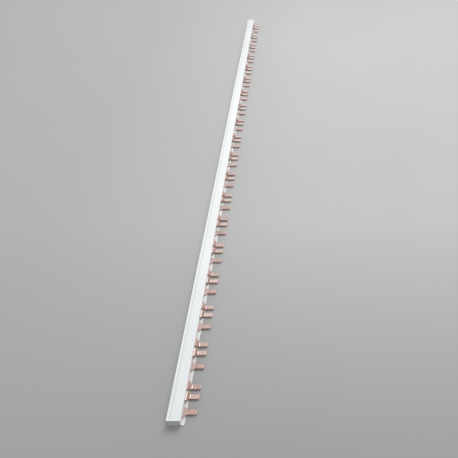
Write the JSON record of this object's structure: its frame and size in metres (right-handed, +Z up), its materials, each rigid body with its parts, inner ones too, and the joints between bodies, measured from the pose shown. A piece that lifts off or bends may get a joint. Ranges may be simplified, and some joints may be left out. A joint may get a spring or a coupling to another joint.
{
  "type": "comb busbar",
  "caption": "Pin comb busbar for a row of circuit breakers: a long light grey housing with flat copper combs inside, whose cranked pins come out in one row.",
  "frame": {"origin": "middle of the bottom of the bounding box, on the surface that the bar lies on", "axes": "+Y along the bar away from its near end, +X from the back wall to the pin tips, +Z up"},
  "size_m": [0.0288, 1.0066, 0.0125],
  "materials": {
    "housing_plastic": "semi-gloss light grey-white extruded plastic",
    "copper": "bare punched copper sheet, slightly dull",
    "cap_plastic": "moulded light grey plastic"
  },
  "bodies": {
    "root": {"housing": "housing_plastic", "copper_comb_bottom": "copper", "copper_comb_middle": "copper", "copper_comb_top": "copper", "end_cap_near": "cap_plastic", "end_cap_far": "cap_plastic"}
  },
  "joints": []
}
